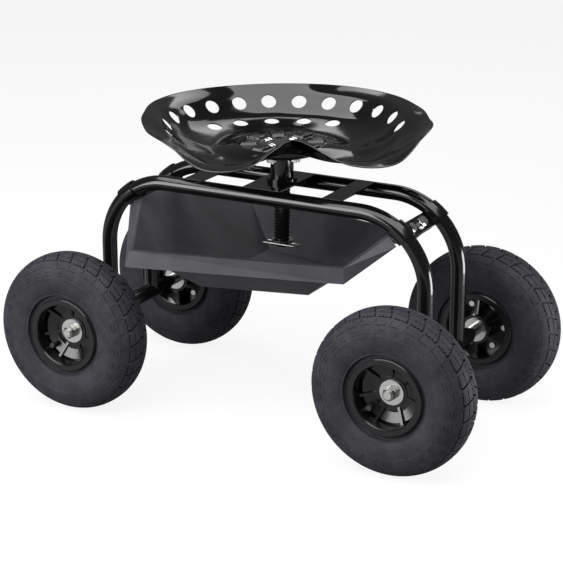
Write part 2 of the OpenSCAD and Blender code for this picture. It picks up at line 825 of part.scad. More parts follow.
// Hairpin through the screw: a straight leg, a loop and a leg outside the screw
module hairpin_clip() {
    reach = screw_r + clip_tail;
    color("silver") translate([post_x, 0, screw_foot_z + clip_rise]) {
        translate([-reach, 0, 0]) rotate([0, 90, 0]) cylinder(h = 2 * reach, r = clip_r);
        translate([-reach, -2 * clip_loop_r, 0]) rotate([0, 90, 0]) cylinder(h = 2 * reach, r = clip_r);
        translate([reach, -clip_loop_r, 0])
            rotate([0, 0, -90])
                rotate_extrude(angle = 180) translate([clip_loop_r, 0]) circle(r = clip_r);
    }
}

// Loose washer that stops the screw under the centre plate
module stop_washer() {
    color("silver") translate([post_x, 0, screw_foot_z + clip_rise + clip_r + loose_gap]) difference() {
        cylinder(h = stop_t, r = stop_r);
        translate([0, 0, -cut]) cylinder(h = stop_t + 2 * cut, r = screw_r + loose_gap);
    }
}

// One wheel station: side is -1 left or 1 right, row is 0 front or 1 rear
module at_wheel(side, row) {
    mirror([0, row, 0])
        translate([side * axle_x, -wheel_y, axle_z]) rotate([90, 0, 0]) children();
}

section_r = (tyre_d / 2 + bead_seat_r) / 2;
function bulge(angle, half, rise) =
    let (c = cos(angle), s = sin(angle))
    [section_r + rise * sign(s) * pow(abs(s), 2 / section_power),
     half * sign(c) * pow(abs(c), 2 / section_power)];

tread_rise = tyre_d / 2 - section_r;
cavity_half = tyre_w / 2 - side_t;
cavity_rise = tread_rise - tread_t;
cavity_drop = section_r - bead_seat_r - loose_gap;

// Closed tyre section: outside from flange to flange, one bead, the cavity, the other bead
function tyre_points() =
    let (
        open = 48,
        bead_r = bead_seat_r + fit_gap,
        bead_face = rim_face - flange_t - fit_gap,
        inner_open = 52
    )
    concat(
        [for (k = [0:section_steps])
            bulge(-open + k * (180 + 2 * open) / section_steps, tyre_w / 2, tread_rise)],
        [[bead_seat_r + bead_top, -bead_face + lip], [bead_seat_r + bead_top - lip, -bead_face],
         [bead_r, -bead_face], [bead_r, -bead_in]],
        [for (k = [0:section_steps])
            let (a = 180 + inner_open - k * (180 + 2 * inner_open) / section_steps)
            bulge(a, cavity_half, sin(a) < 0 ? cavity_drop : cavity_rise)],
        [[bead_r, bead_in], [bead_r, bead_face],
         [bead_seat_r + bead_top - lip, bead_face], [bead_seat_r + bead_top, bead_face - lip]]
    );

module tyre(side, row) {
    color("#2b2b30") at_wheel(side, row) rotate_extrude() difference() {
        polygon(tyre_points());
        for (z = [-groove_x, groove_x])
            translate([tyre_d / 2 - groove_t, z - groove_w / 2]) square([2 * groove_t, groove_w]);
    }
}

function tube_ring(inset) = [
    for (k = [0:2 * section_steps - 1])
        let (a = k * 180 / section_steps)
        bulge(a, cavity_half - inset, (sin(a) < 0 ? cavity_drop : cavity_rise) - inset)
];

// Inner tube with its valve, which comes in through the barrel and turns outwards
module inner_tube(side, row) {
    color("#1c1c1c") at_wheel(side, row) {
        rotate_extrude() difference() {
            polygon(tube_ring(loose_gap));
            polygon(tube_ring(loose_gap + tube_t));
        }
        rotate([0, 0, valve_turn]) {
            translate([valve_circle, 0, valve_z])
                rotate([0, 90, 0]) cylinder(h = bead_seat_r + tube_t - valve_circle, r = valve_r);
            translate([valve_circle, 0, valve_z]) sphere(r = valve_r);
            translate([valve_circle, 0, valve_z]) cylinder(h = valve_tip - valve_z, r = valve_r);
        }
    }
}

barrel_r = bead_seat_r - rim_wall;

// Barrel and flange that both halves of a rim share, from the centre plane outwards
function barrel_points() = [
    [barrel_r, 0],
    [bead_seat_r, 0],
    [bead_seat_r, rim_face - flange_t],
    [flange_r - lip, rim_face - flange_t],
    [flange_r, rim_face - flange_t + lip],
    [flange_r, rim_face - lip],
    [flange_r - lip, rim_face],
    [flange_r - flange_ring + lip, rim_face],
    [barrel_r, rim_face - 2 * lip]
];

module rim_outer(side, row) {
    pitch = 360 / outer_ribs;
    color("#33332c") at_wheel(side, row) difference() {
        union() {
            rotate_extrude() polygon(barrel_points());
            rotate_extrude()
                polygon([
                    [bearing_r - bearing_lip, -hub_joint],
                    [hub_r, -hub_joint],
                    [hub_r, 0],
                    [barrel_r + rim_wall / 2, 0],
                    [barrel_r + rim_wall / 2, web_t],
                    [pad_out_r, web_t],
                    [pad_out_r, pad_rise],
                    [pad_in_r, web_t],
                    [hub_r, web_t],
                    [hub_r, hub_out],
                    [bearing_r + fit_gap, hub_out],
                    [bearing_r + fit_gap, hub_out - bearing_w],
                    [bearing_r - bearing_lip, hub_out - bearing_w]
                ]);
            for (k = [0:outer_ribs - 1])
                rotate([0, 0, 270 + (k + 1 / 2) * pitch])
                    rotate([90, 0, 0])
                        linear_extrude(height = rib_t, center = true)
                            polygon([
                                [hub_r - lap, web_t / 2],
                                [barrel_r + rim_wall / 2, web_t / 2],
                                [barrel_r + rim_wall / 2, rib_rise],
                                [hub_r - lap, hub_out - lap]
                            ]);
        }
        for (k = [0:rim_screws - 1])
            rotate([0, 0, 300 + k * 360 / rim_screws])
                translate([rim_screw_circle, 0, -cut])
                    cylinder(h = rim_screw_len - web_t + cut, r = rim_screw_r);
        rotate([0, 0, valve_turn])
            translate([barrel_r - cut, 0, valve_z])
                rotate([0, 90, 0]) cylinder(h = rim_wall + 2 * cut, r = valve_r + loose_gap);
    }
}

module rim_inner(side, row) {
    pitch = 360 / inner_ribs;
    color("#2c2c26") at_wheel(side, row) mirror([0, 0, 1]) translate([0, 0, fit_gap]) difference() {
        union() {
            rotate_extrude()
                polygon(concat(
                    [[barrel_r, 0], [bead_seat_r, 0]],
                    [for (i = [2:8]) barrel_points()[i] - [0, fit_gap]]
                ));
            rotate_extrude()
                polygon([
                    [hub_r + fit_gap, 0],
                    [barrel_r + rim_wall / 2, 0],
                    [barrel_r + rim_wall / 2, web_t],
                    [hub_r + hub_skin, web_t],
                    [hub_r + hub_skin, hub_joint + web_t],
                    [hub_r, hub_joint + web_t],
                    [hub_r, hub_in - fit_gap],
                    [bearing_r + fit_gap, hub_in - fit_gap],
                    [bearing_r + fit_gap, hub_in - bearing_w - fit_gap],
                    [bearing_r - bearing_lip, hub_in - bearing_w - fit_gap],
                    [bearing_r - bearing_lip, hub_joint + fit_gap],
                    [hub_r + fit_gap, hub_joint + fit_gap]
                ]);
            for (k = [0:inner_ribs - 1])
                rotate([0, 0, 270 + k * pitch])
                    rotate([90, 0, 0])
                        linear_extrude(height = thin_rib_t, center = true)
                            polygon([
                                [hub_r + hub_skin / 2, web_t / 2],
                                [barrel_r + rim_wall / 2, web_t / 2],
                                [barrel_r + rim_wall / 2, inner_rib_rise - 2 * web_t],
                                [hub_r - lap, inner_rib_rise],
                                [hub_r - lap, hub_joint + web_t + lap]
                            ]);
        }
        for (k = [0:rim_screws - 1])
            rotate([0, 0, 300 + k * 360 / rim_screws])
                translate([rim_screw_circle, 0, -cut])
                    cylinder(h = web_t + 2 * cut, r = rim_screw_r + fit_gap);
    }
}

// Screws that hold the two halves of a rim together, driven from the inner side
module rim_screws_set(side, row) {
    color("silver") at_wheel(side, row)
        for (k = [0:rim_screws - 1])
            rotate([0, 0, 300 + k * 360 / rim_screws])
                translate([rim_screw_circle, 0, 0]) mirror([0, 0, 1]) {
                    translate([0, 0, web_t + fit_gap])
                        cylinder(h = rim_screw_head_h, r = rim_screw_head_r);
                    translate([0, 0, web_t + fit_gap - rim_screw_len + loose_gap])
                        cylinder(h = rim_screw_len, r = rim_screw_r - fit_gap);
                }
}

race_t = 3.2;
shield_in = 0.8;

// Two shielded ball bearings, one at each end of the hub
module bearings(side, row) {
    color("silver") at_wheel(side, row)
        for (low = [hub_out - bearing_w, -hub_in])
            translate([0, 0, low])
                rotate_extrude()
                    polygon([
                        [axle_r + run_gap, 0],
                        [axle_r + race_t, 0],
                        [axle_r + race_t, shield_in],
                        [bearing_r - race_t, shield_in],
                        [bearing_r - race_t, 0],
                        [bearing_r, 0],
                        [bearing_r, bearing_w],
                        [bearing_r - race_t, bearing_w],
                        [bearing_r - race_t, bearing_w - shield_in],
                        [axle_r + race_t, bearing_w - shield_in],
                        [axle_r + race_t, bearing_w],
                        [axle_r + run_gap, bearing_w]
                    ]);
}

translate([0, chassis_y, 0]) {
    hoop(-hoop_y);  // front_hoop
    hoop(hoop_y);  // rear_hoop
    axle_beam(-1);  // left_axle_beam
    axle_beam(1);  // right_axle_beam
    axle_rod(-1);  // left_axle_rod
    axle_rod(1);  // right_axle_rod
    axle_spacers();
    axle_washers();
    axle_nuts();
    centre_plate();
    cross_strap(-1);  // left_cross_strap
    cross_strap(1);  // right_cross_strap
    screw_sleeve();
    sleeve_flange();
    bracket_upper(-1);  // left_bracket_upper
    bracket_lower(-1);  // left_bracket_lower
    bracket_upper(1);  // right_bracket_upper
    bracket_lower(1);  // right_bracket_lower
    bracket_bolts();
    bracket_washers();
    bracket_nuts();
    tool_tray();
    seat_pan();
    seat_bracket();
    seat_bolts();
    seat_nuts();
    adjusting_screw();
    hairpin_clip();
    stop_washer();
    tyre(-1, 0);  // fl_tyre
    inner_tube(-1, 0);  // fl_inner_tube
    rim_outer(-1, 0);  // fl_rim_outer
    rim_inner(-1, 0);  // fl_rim_inner
    rim_screws_set(-1, 0);  // fl_rim_screws
    bearings(-1, 0);  // fl_bearings
    tyre(1, 0);  // fr_tyre
    inner_tube(1, 0);  // fr_inner_tube
    rim_outer(1, 0);  // fr_rim_outer
    rim_inner(1, 0);  // fr_rim_inner
    rim_screws_set(1, 0);  // fr_rim_screws
    bearings(1, 0);  // fr_bearings
    tyre(-1, 1);  // rl_tyre
    inner_tube(-1, 1);  // rl_inner_tube
    rim_outer(-1, 1);  // rl_rim_outer
    rim_inner(-1, 1);  // rl_rim_inner
    rim_screws_set(-1, 1);  // rl_rim_screws
    bearings(-1, 1);  // rl_bearings
    tyre(1, 1);  // rr_tyre
    inner_tube(1, 1);  // rr_inner_tube
    rim_outer(1, 1);  // rr_rim_outer
    rim_inner(1, 1);  // rr_rim_inner
    rim_screws_set(1, 1);  // rr_rim_screws
    bearings(1, 1);  // rr_bearings
}
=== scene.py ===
import bmesh
import bpy
import json
import math
from mathutils import Matrix, Vector


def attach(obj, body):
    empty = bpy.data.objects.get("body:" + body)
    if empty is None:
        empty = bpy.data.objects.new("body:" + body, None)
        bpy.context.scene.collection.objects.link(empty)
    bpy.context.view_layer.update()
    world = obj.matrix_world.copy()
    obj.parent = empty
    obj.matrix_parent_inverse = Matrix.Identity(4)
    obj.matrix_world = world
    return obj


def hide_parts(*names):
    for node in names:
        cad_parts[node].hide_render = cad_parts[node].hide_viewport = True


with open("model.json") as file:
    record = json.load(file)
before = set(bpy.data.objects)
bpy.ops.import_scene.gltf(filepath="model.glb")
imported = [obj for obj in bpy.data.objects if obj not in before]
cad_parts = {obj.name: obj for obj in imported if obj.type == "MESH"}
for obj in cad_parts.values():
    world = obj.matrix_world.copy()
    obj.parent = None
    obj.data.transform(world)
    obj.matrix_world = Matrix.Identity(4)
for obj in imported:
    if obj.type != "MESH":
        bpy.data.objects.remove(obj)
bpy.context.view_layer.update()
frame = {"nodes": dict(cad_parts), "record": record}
print("frame loaded:", len(frame["nodes"]), "nodes")

# Places that the CAD fixes, in metres
chassisY = 0.0184
wheelSpots = {
    "fl": (-0.2775, -1, 0.0),  # side along X, row along Y, turn of the tread in degrees
    "fr": (0.2775, -1, 4.0),
    "rl": (-0.2775, 1, 7.0),
    "rr": (0.2775, 1, 2.0),
}
wheelOut = 0.168
axleHeight = 0.127


def linear(hexColour):
    values = [int(hexColour[i:i + 2], 16) / 255 for i in (1, 3, 5)]
    return tuple(v / 12.92 if v <= 0.04045 else ((v + 0.055) / 1.055) ** 2.4 for v in values) + (1.0,)


def addNode(tree, kind, settings=None, links=None, at=(0, 0)):
    node = tree.nodes.new(kind)
    node.location = at
    for key, value in (settings or {}).items():
        if isinstance(key, int) or key in node.inputs:
            node.inputs[key].default_value = value
        else:
            setattr(node, key, value)
    for key, source in (links or {}).items():
        tree.links.new(source, node.inputs[key])
    return node


def emptyMaterial(name):
    material = bpy.data.materials.new(name)
    material.use_nodes = True
    material.node_tree.nodes.clear()
    return material, material.node_tree


powderCoat = {
    "colour": "#0b0b0c",   # black polyester powder, baked: deep black under a hard gloss
    "roughness": 0.13,
    "peel": 1.6,           # mm, size of the orange peel
    "peelDepth": 0.012,    # mm
}


def powderCoatedSteel(name, look):
    material, tree = emptyMaterial(name)
    place = addNode(tree, "ShaderNodeTexCoord", at=(-1000, 0))
    peel = addNode(tree, "ShaderNodeTexNoise", {"Scale": 1000 / look["peel"], "Detail": 1.5},
                   {"Vector": place.outputs["Object"]}, (-800, -200))
    haze = addNode(tree, "ShaderNodeTexNoise", {"Scale": 28.0, "Detail": 3.0},
                   {"Vector": place.outputs["Object"]}, (-800, 100))
    dull = addNode(tree, "ShaderNodeMapRange",
                   {"From Min": 0.35, "From Max": 0.7, "To Min": look["roughness"] * 0.85,
                    "To Max": look["roughness"] * 1.3},
                   {"Value": haze.outputs["Fac"]}, (-600, 100))
    bump = addNode(tree, "ShaderNodeBump", {"Strength": 1.0, "Distance": look["peelDepth"] / 1000},
                   {"Height": peel.outputs["Fac"]}, (-600, -200))
    paint = addNode(tree, "ShaderNodeBsdfPrincipled",
                    {"Base Color": linear(look["colour"]), "IOR": 1.5},
                    {"Roughness": dull.outputs["Result"], "Normal": bump.outputs["Normal"]}, (-300, 0))
    addNode(tree, "ShaderNodeOutputMaterial", links={"Surface": paint.outputs["BSDF"]}, at=(0, 0))
    return material


zincPlate = {
    "colour": "#e0e0dd",   # bright zinc over machined steel: pale metal with cloudy patches
    "cloud": "#cfd0ce",
    "roughness": 0.17,
    "spot": 8.0,           # mm, size of the clouds in the plate
}


def zincPlatedSteel(name, look):
    material, tree = emptyMaterial(name)
    place = addNode(tree, "ShaderNodeTexCoord", at=(-1000, 0))
    cloud = addNode(tree, "ShaderNodeTexNoise", {"Scale": 1000 / look["spot"], "Detail": 4.0},
                    {"Vector": place.outputs["Object"]}, (-800, 100))
    grain = addNode(tree, "ShaderNodeTexNoise", {"Scale": 2500.0, "Detail": 2.0},
                    {"Vector": place.outputs["Object"]}, (-800, -200))
    tone = addNode(tree, "ShaderNodeMix", {"data_type": "RGBA", 6: linear(look["colour"]),
                                           7: linear(look["cloud"])},
                   {0: cloud.outputs["Fac"]}, (-600, 100))
    dull = addNode(tree, "ShaderNodeMapRange",
                   {"From Min": 0.3, "From Max": 0.7, "To Min": look["roughness"] * 0.7,
                    "To Max": look["roughness"] * 1.5},
                   {"Value": cloud.outputs["Fac"]}, (-600, -60))
    bump = addNode(tree, "ShaderNodeBump", {"Strength": 0.3, "Distance": 0.00001},
                   {"Height": grain.outputs["Fac"]}, (-600, -260))
    metal = addNode(tree, "ShaderNodeBsdfPrincipled", {"Metallic": 1.0},
                    {"Base Color": tone.outputs[2], "Roughness": dull.outputs["Result"],
                     "Normal": bump.outputs["Normal"]}, (-300, 0))
    addNode(tree, "ShaderNodeOutputMaterial", links={"Surface": metal.outputs["BSDF"]}, at=(0, 0))
    return material


trayPlastic = {
    "colour": "#2b2a2f",   # polypropylene moulded against a spark-eroded tool: dry, even grain
    "worn": "#39383e",
    "roughness": 0.62,
    "grain": 1.1,          # mm, drawn a little coarser than the real grain so that it shows
    "grainDepth": 0.10,    # mm
}
rimPlastic = {
    "colour": "#0b0b0c",   # polypropylene moulded against a polished tool: satin
    "worn": "#131314",
    "roughness": 0.2,
    "grain": 2.5,
    "grainDepth": 0.02,
}


def mouldedPolypropylene(name, look):
    material, tree = emptyMaterial(name)
    place = addNode(tree, "ShaderNodeTexCoord", at=(-1000, 0))
    grain = addNode(tree, "ShaderNodeTexNoise",
                    {"Scale": 1000 / look["grain"], "Detail": 3.0, "Roughness": 0.6},
                    {"Vector": place.outputs["Object"]}, (-800, -200))
    rubbed = addNode(tree, "ShaderNodeTexNoise", {"Scale": 22.0, "Detail": 5.0, "Roughness": 0.65},
                     {"Vector": place.outputs["Object"]}, (-800, 150))
    share = addNode(tree, "ShaderNodeMapRange", {"From Min": 0.4, "From Max": 0.75},
                    {"Value": rubbed.outputs["Fac"]}, (-600, 150))
    tone = addNode(tree, "ShaderNodeMix", {"data_type": "RGBA", 6: linear(look["colour"]),
                                           7: linear(look["worn"])},
                   {0: share.outputs["Result"]}, (-420, 150))
    bump = addNode(tree, "ShaderNodeBump", {"Strength": 1.0, "Distance": look["grainDepth"] / 1000},
                   {"Height": grain.outputs["Fac"]}, (-600, -200))
    plastic = addNode(tree, "ShaderNodeBsdfPrincipled", {"Roughness": look["roughness"], "IOR": 1.49},
                      {"Base Color": tone.outputs[2], "Normal": bump.outputs["Normal"]}, (-200, 0))
    addNode(tree, "ShaderNodeOutputMaterial", links={"Surface": plastic.outputs["BSDF"]}, at=(60, 0))
    return material


treadRubber = {
    "colour": "#222227",   # carbon-black tyre rubber with a blue-grey bloom
    "bloom": "#303037",
    "roughness": 0.72,
    "shine": 0.28,
    "skin": 0.9,           # mm, texture of the mould's surface
    "skinDepth": 0.05,     # mm
    "speck": 2.6,          # mm, mottling left by the mould dressing
    "speckShade": 0.5,
    "ventGap": 15.0,       # mm, between the dark marks that the mould's vents leave
    "ventSize": 0.07, "ventSoft": 0.12,  # radius of a mark and of its soft edge, as shares of the gap
    "ventShade": 0.3,
}
tubeRubber = {
    "colour": "#1d1d1f",   # butyl rubber, smooth and dull
    "bloom": "#27272a",
    "roughness": 0.5,
    "shine": 0.5,
    "skin": 1.5,
    "skinDepth": 0.01,
    "speck": 4.0,
    "speckShade": 0.9,
    "ventGap": 60.0,
    "ventSize": 0.07, "ventSoft": 0.12,
    "ventShade": 0.3,
}


def mouldedRubber(name, look):
    material, tree = emptyMaterial(name)
    place = addNode(tree, "ShaderNodeTexCoord", at=(-1000, 0))
    skin = addNode(tree, "ShaderNodeTexNoise", {"Scale": 1000 / look["skin"], "Detail": 2.0},
                   {"Vector": place.outputs["Object"]}, (-800, -200))
    bloom = addNode(tree, "ShaderNodeTexNoise", {"Scale": 30.0, "Detail": 6.0, "Roughness": 0.7},
                    {"Vector": place.outputs["Object"]}, (-800, 150))
    share = addNode(tree, "ShaderNodeMapRange", {"From Min": 0.42, "From Max": 0.68},
                    {"Value": bloom.outputs["Fac"]}, (-600, 150))
    tone = addNode(tree, "ShaderNodeMix", {"data_type": "RGBA", 6: linear(look["colour"]),
                                           7: linear(look["bloom"])},
                   {0: share.outputs["Result"]}, (-420, 150))
    dust = addNode(tree, "ShaderNodeTexNoise",
                   {"Scale": 1000 / look["speck"], "Detail": 3.0, "Roughness": 0.7},
                   {"Vector": place.outputs["Object"]}, (-800, 400))
    dark = addNode(tree, "ShaderNodeMapRange",
                   {"From Min": 0.32, "From Max": 0.56, "To Min": look["speckShade"]},
                   {"Value": dust.outputs["Fac"]}, (-600, 400))
    spots = addNode(tree, "ShaderNodeTexVoronoi", {"Scale": 1000 / look["ventGap"]},
                    {"Vector": place.outputs["Object"]}, (-800, 650))
    vents = addNode(tree, "ShaderNodeMapRange",
                    {"From Min": look["ventSize"], "From Max": look["ventSoft"], "To Min": look["ventShade"]},
                    {"Value": spots.outputs["Distance"]}, (-600, 650))
    shade = addNode(tree, "ShaderNodeMath", {"operation": "MULTIPLY"},
                    {0: dark.outputs["Result"], 1: vents.outputs["Result"]}, (-450, 500))
    mottled = addNode(tree, "ShaderNodeVectorMath", {"operation": "SCALE"},
                      {0: tone.outputs[2], "Scale": shade.outputs[0]}, (-300, 250))
    bump = addNode(tree, "ShaderNodeBump", {"Strength": 1.0, "Distance": look["skinDepth"] / 1000},
                   {"Height": skin.outputs["Fac"]}, (-600, -200))
    rubber = addNode(tree, "ShaderNodeBsdfPrincipled",
                     {"Roughness": look["roughness"], "Specular IOR Level": look["shine"]},
                     {"Base Color": mottled.outputs[0], "Normal": bump.outputs["Normal"]}, (-100, 0))
    addNode(tree, "ShaderNodeOutputMaterial", links={"Surface": rubber.outputs["BSDF"]}, at=(60, 0))
    return material


seatPaint = dict(powderCoat, colour="#080809", roughness=0.09, peel=2.2, peelDepth=0.01)
dulledZinc = dict(zincPlate, colour="#8c8c89", cloud="#777775", roughness=0.3)
groundSteel = dict(zincPlate, colour="#b9babb", cloud="#9c9d9f", roughness=0.18)

blackPaint = powderCoatedSteel("glossBlackPowderCoat", powderCoat)
seatGloss = powderCoatedSteel("glossBlackSeatCoat", seatPaint)
zinc = zincPlatedSteel("brightZincPlate", zincPlate)
dullZinc = zincPlatedSteel("dulledZincPlate", dulledZinc)
bearingSteel = zincPlatedSteel("groundBearingSteel", groundSteel)
trayFinish = mouldedPolypropylene("grainedPolypropylene", trayPlastic)
rimFinish = mouldedPolypropylene("satinPolypropylene", rimPlastic)
tyreFinish = mouldedRubber("mouldedTyreRubber", treadRubber)
tubeFinish = mouldedRubber("smoothButylRubber", tubeRubber)

finishes = {
    "black_steel": blackPaint,
    "seat_steel": seatGloss,
    "zinc_steel": zinc,
    "bearing_steel": bearingSteel,
    "tray_plastic": trayFinish,
    "rim_plastic": rimFinish,
    "tyre_rubber": tyreFinish,
    "tube_rubber": tubeFinish,
}
for part in frame["record"]["subparts"]:
    node = frame["nodes"][part["node"]]
    node.data.materials.clear()
    node.data.materials.append(finishes[part["material_slot"]])
for name in ("hairpin_clip", "stop_washer"):
    frame["nodes"][name].data.materials[0] = dullZinc
print("finishes set")


def newPiece(name, points, faces, material, sharpAngle=32):
    mesh = bpy.data.meshes.new(name)
    mesh.from_pydata([tuple(p) for p in points], [], faces)
    mesh.validate()
    piece = bpy.data.objects.new(name, mesh)
    bpy.context.scene.collection.objects.link(piece)
    mesh.materials.append(material)
    tidyNormals(piece, sharpAngle)
    return piece


def tidyNormals(piece, sharpAngle):
    work = bmesh.new()
    work.from_mesh(piece.data)
    bmesh.ops.remove_doubles(work, verts=work.verts, dist=0.000005)
    bmesh.ops.recalc_face_normals(work, faces=work.faces)
    work.to_mesh(piece.data)
    work.free()
    piece.data.polygons.foreach_set("use_smooth", [True] * len(piece.data.polygons))
    piece.data.set_sharp_from_angle(angle=math.radians(sharpAngle))
    piece.data.update()


def bakeModifiers(piece):
    bpy.context.view_layer.update()
    seen = piece.evaluated_get(bpy.context.evaluated_depsgraph_get())
    mesh = bpy.data.meshes.new_from_object(seen)
    piece.modifiers.clear()
    old = piece.data
    piece.data = mesh
    mesh.name = piece.name
    bpy.data.meshes.remove(old)


def settle(piece, body, slot, *nodes):
    if nodes:
        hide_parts(*nodes)
    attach(piece, body)


def ringTree():
    tree = bpy.data.node_groups.new("ringRepeat", "GeometryNodeTree")
    face = tree.interface
    face.new_socket("Geometry", in_out="INPUT", socket_type="NodeSocketGeometry")
    face.new_socket("Count", in_out="INPUT", socket_type="NodeSocketInt")
    face.new_socket("Turn", in_out="INPUT", socket_type="NodeSocketFloat")
    face.new_socket("Material", in_out="INPUT", socket_type="NodeSocketMaterial")
    face.new_socket("Geometry", in_out="OUTPUT", socket_type="NodeSocketGeometry")
    given = addNode(tree, "NodeGroupInput", at=(-900, 0))
    spots = addNode(tree, "GeometryNodePoints", links={"Count": given.outputs["Count"]}, at=(-650, 200))
    index = addNode(tree, "GeometryNodeInputIndex", at=(-900, -300))
    step = addNode(tree, "ShaderNodeMath", {"operation": "DIVIDE", 0: 2 * math.pi},
                   {1: given.outputs["Count"]}, (-700, -200))
    turned = addNode(tree, "ShaderNodeMath", {"operation": "MULTIPLY_ADD"},
                     {0: index.outputs["Index"], 1: step.outputs[0], 2: given.outputs["Turn"]}, (-500, -200))
    spin = addNode(tree, "ShaderNodeCombineXYZ", links={"Z": turned.outputs[0]}, at=(-320, -200))
    copies = addNode(tree, "GeometryNodeInstanceOnPoints",
                     links={"Points": spots.outputs[0], "Instance": given.outputs["Geometry"],
                            "Rotation": spin.outputs[0]}, at=(-120, 100))
    real = addNode(tree, "GeometryNodeRealizeInstances", links={"Geometry": copies.outputs[0]}, at=(80, 100))
    painted = addNode(tree, "GeometryNodeSetMaterial",
                      links={"Geometry": real.outputs[0], "Material": given.outputs["Material"]},
                      at=(260, 100))
    addNode(tree, "NodeGroupOutput", links={"Geometry": painted.outputs[0]}, at=(450, 100))
    return tree


ringRepeat = ringTree()


# Repeats one share of a ring round the Z axis and leaves a plain mesh
def repeatRound(piece, count, turn, material):
    modifier = piece.modifiers.new("ring", "NODES")
    modifier.node_group = ringRepeat
    sockets = {s.name: s.identifier for s in ringRepeat.interface.items_tree if s.in_out == "INPUT"}
    modifier[sockets["Count"]] = count
    modifier[sockets["Turn"]] = turn
    modifier[sockets["Material"]] = material
    bakeModifiers(piece)


# From a wheel's own place, with Z pointing out, to its station
def wheelMatrix(code):
    x, row, turn = wheelSpots[code]
    spin = Matrix.Rotation(math.radians(turn), 4, "Z")
    stand = Matrix(((1, 0, 0, 0), (0, 0, -1, 0), (0, 1, 0, 0), (0, 0, 0, 1)))
    about = Matrix.Rotation(math.pi if row > 0 else 0, 4, "Z")
    return Matrix.Translation((x, chassisY + row * wheelOut, axleHeight)) @ about @ stand @ spin


pan = {
    "width": 432.0, "floor": 427.0, "rise": 54.0, "sheet": 2.0,
    "centre": (4.0, 18.4), "turn": 36.0,
    "flatShare": 0.315,
    "around": 300,
    "steps": [10, 10, 10, 10, 12],
    "holeDiameter": 24.0,
    "upperHoles": 13, "upperPitch": 17.0,
    "lowerTurns": [-43.5, -23, 0, 23, 43.5], "lowerPlaces": [1.75, 1.7, 1.67, 1.7, 1.75],
    "boltCircle": 27.0, "boltTurn": 45.0, "boltHole": 8.6,
    "padNear": 37.0, "padFar": 66.0, "padWidth": 23.0, "padRise": 4.0, "padCount": 8,
}
# From the front round to the back: floor edge, foot, holes, crest and rim as shares
panRows = [
    [0.347, 0.06, 0.389, 0.22, 0.431, 0.37, 0.519, 0.57, 0.618, 0.67],
    [0.361, 0.02, 0.407, 0.13, 0.458, 0.25, 0.565, 0.42, 0.681, 0.47],
    [0.394, -0.06, 0.468, -0.05, 0.549, 0.05, 0.718, 0.14, 0.903, 0.12],
    [0.403, -0.15, 0.523, -0.17, 0.648, -0.09, 0.880, 0.11, 1.109, 0.20],
    [0.449, -0.19, 0.588, -0.21, 0.731, -0.13, 0.958, 0.28, 1.148, 0.78],
    [0.468, -0.18, 0.634, -0.13, 0.784, 0.09, 0.949, 0.54, 1.118, 0.91],
    [0.486, -0.14, 0.685, 0.07, 0.822, 0.45, 0.903, 0.69, 1.046, 0.88],
    [0.500, -0.11, 0.708, 0.14, 0.822, 0.58, 0.884, 0.80, 1.005, 0.92],
    [0.500, -0.09, 0.699, 0.14, 0.806, 0.57, 0.868, 0.81, 0.970, 0.94],
    [0.486, -0.07, 0.690, 0.14, 0.795, 0.56, 0.859, 0.79, 0.972, 0.93],
    [0.477, -0.05, 0.688, 0.14, 0.795, 0.56, 0.859, 0.79, 0.986, 0.91],
    [0.468, -0.03, 0.683, 0.14, 0.788, 0.54, 0.852, 0.78, 0.980, 0.92],
    [0.454, -0.01, 0.671, 0.15, 0.777, 0.52, 0.838, 0.76, 0.954, 0.94],
    [0.442, 0.00, 0.660, 0.15, 0.768, 0.52, 0.824, 0.75, 0.908, 0.96],
    [0.433, 0.01, 0.653, 0.15, 0.763, 0.52, 0.815, 0.76, 0.862, 0.98],
    [0.426, 0.02, 0.648, 0.16, 0.758, 0.53, 0.810, 0.78, 0.843, 0.99],
]


def curveThrough(a, b, c, d, t):
    return [
        q + (r - p) * t / 2 + (2 * p - 5 * q + 4 * r - s) * t * t / 2 + (3 * q - p - 3 * r + s) * t ** 3 / 2
        for p, q, r, s in zip(a, b, c, d)
    ]


def panRow(angle):
    last = len(panRows) - 1
    place = abs((angle + 180) % 360 - 180) / 180 * last
    i = min(int(place), last - 1)
    before = panRows[1] if i == 0 else panRows[i - 1]
    after = panRows[last - 1] if i + 2 > last else panRows[i + 2]
    return curveThrough(before, panRows[i], panRows[i + 1], after, place - i)


def panKnots(angle):
    row = panRow(angle)
    knots = [[pan["flatShare"], 0]] + [row[2 * k:2 * k + 2] for k in range(5)]
    first = [2 * pan["flatShare"] - row[0], 0]
    last = [2 * a - b for a, b in zip(knots[5], knots[4])]
    return [first] + knots + [last]


# Point of the upper face in the seat's own frame, in mm
def panPoint(angle, place):
    knots = panKnots(angle)
    i = min(int(place), 4)
    share, rise = curveThrough(knots[i], knots[i + 1], knots[i + 2], knots[i + 3], place - i)
    reach = share * pan["width"] / 2
    a = math.radians(angle)
    return Vector((reach * math.sin(a), -reach * math.cos(a), pan["floor"] + rise * pan["rise"]))


def smoothStep(x):
    x = max(0.0, min(1.0, x))
    return x * x * (3 - 2 * x)


# Height of the pressed pads over the flat centre
def padHeight(x, y):
    step = 360 / pan["padCount"]
    turn = math.radians(round(math.degrees(math.atan2(y, x)) / step) * step)
    along = x * math.cos(turn) + y * math.sin(turn)
    across = -x * math.sin(turn) + y * math.cos(turn)
    corner = 5.0
    dx = abs(along - (pan["padNear"] + pan["padFar"]) / 2) - (pan["padFar"] - pan["padNear"]) / 2 + corner
    dy = abs(across) - pan["padWidth"] / 2 + corner
    reach = math.hypot(max(dx, 0), max(dy, 0)) + min(max(dx, dy), 0) - corner
    return pan["padRise"] * smoothStep(0.5 - reach / 3.2)


